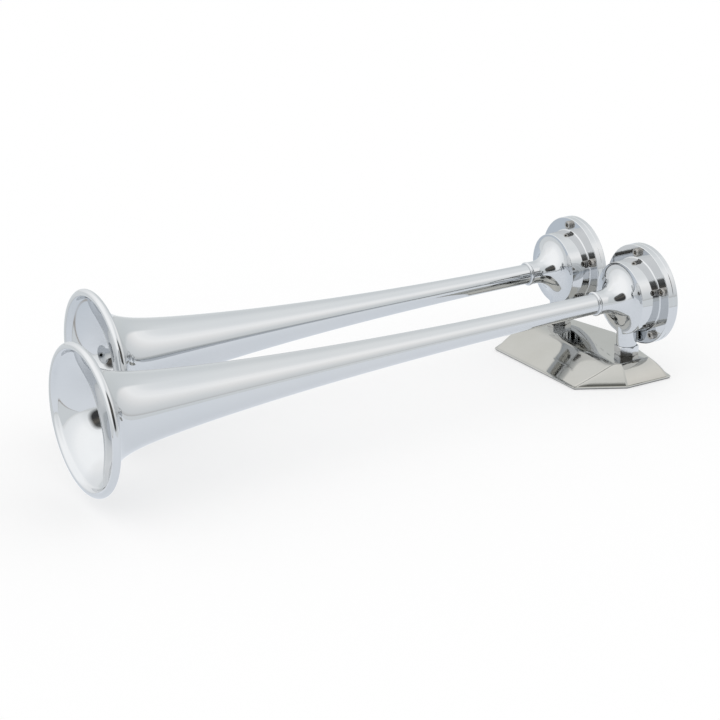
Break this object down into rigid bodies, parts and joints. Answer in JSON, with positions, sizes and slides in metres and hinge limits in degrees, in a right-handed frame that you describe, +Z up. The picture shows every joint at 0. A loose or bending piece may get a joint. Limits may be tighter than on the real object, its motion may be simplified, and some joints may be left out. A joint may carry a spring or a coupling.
{
  "type": "truck air horn",
  "caption": "Roof-mounted truck air horn: a long and a short chrome trumpet, each on a round sound chamber and post above a shared polished base cover.",
  "frame": {"origin": "underside of the base gasket, midway between the two post axes", "axes": "+Z up out of the roof, trumpets point along -Y, long trumpet at +X"},
  "size_m": [0.2664, 0.6365, 0.1629],
  "materials": {
    "chrome": "bright chrome plate",
    "nut_chrome": "chrome plated nut",
    "stainless": "polished stainless sheet",
    "plain_steel": "zinc plated steel",
    "spring_steel": "plain spring steel sheet",
    "screw_steel": "plain stainless cap screws",
    "brass": "turned brass",
    "rubber": "black rubber"
  },
  "bodies": {
    "root": {"long_bell": "chrome", "long_tube": "chrome", "long_neck_ring": "chrome", "long_chamber": "chrome", "long_nozzle": "brass", "long_seal_ring": "rubber", "long_diaphragm": "spring_steel", "long_back_cover": "chrome", "long_cover_screws": "screw_steel", "long_inlet_stud": "plain_steel", "long_upper_nut": "nut_chrome", "long_washer": "plain_steel", "long_lock_nut": "plain_steel", "short_bell": "chrome", "short_tube": "chrome", "short_neck_ring": "chrome", "short_chamber": "chrome", "short_nozzle": "brass", "short_seal_ring": "rubber", "short_diaphragm": "spring_steel", "short_back_cover": "chrome", "short_cover_screws": "screw_steel", "short_inlet_stud": "plain_steel", "short_upper_nut": "nut_chrome", "short_washer": "plain_steel", "short_lock_nut": "plain_steel", "base_cover": "stainless", "backing_plate": "plain_steel", "base_gasket": "rubber"}
  },
  "joints": []
}
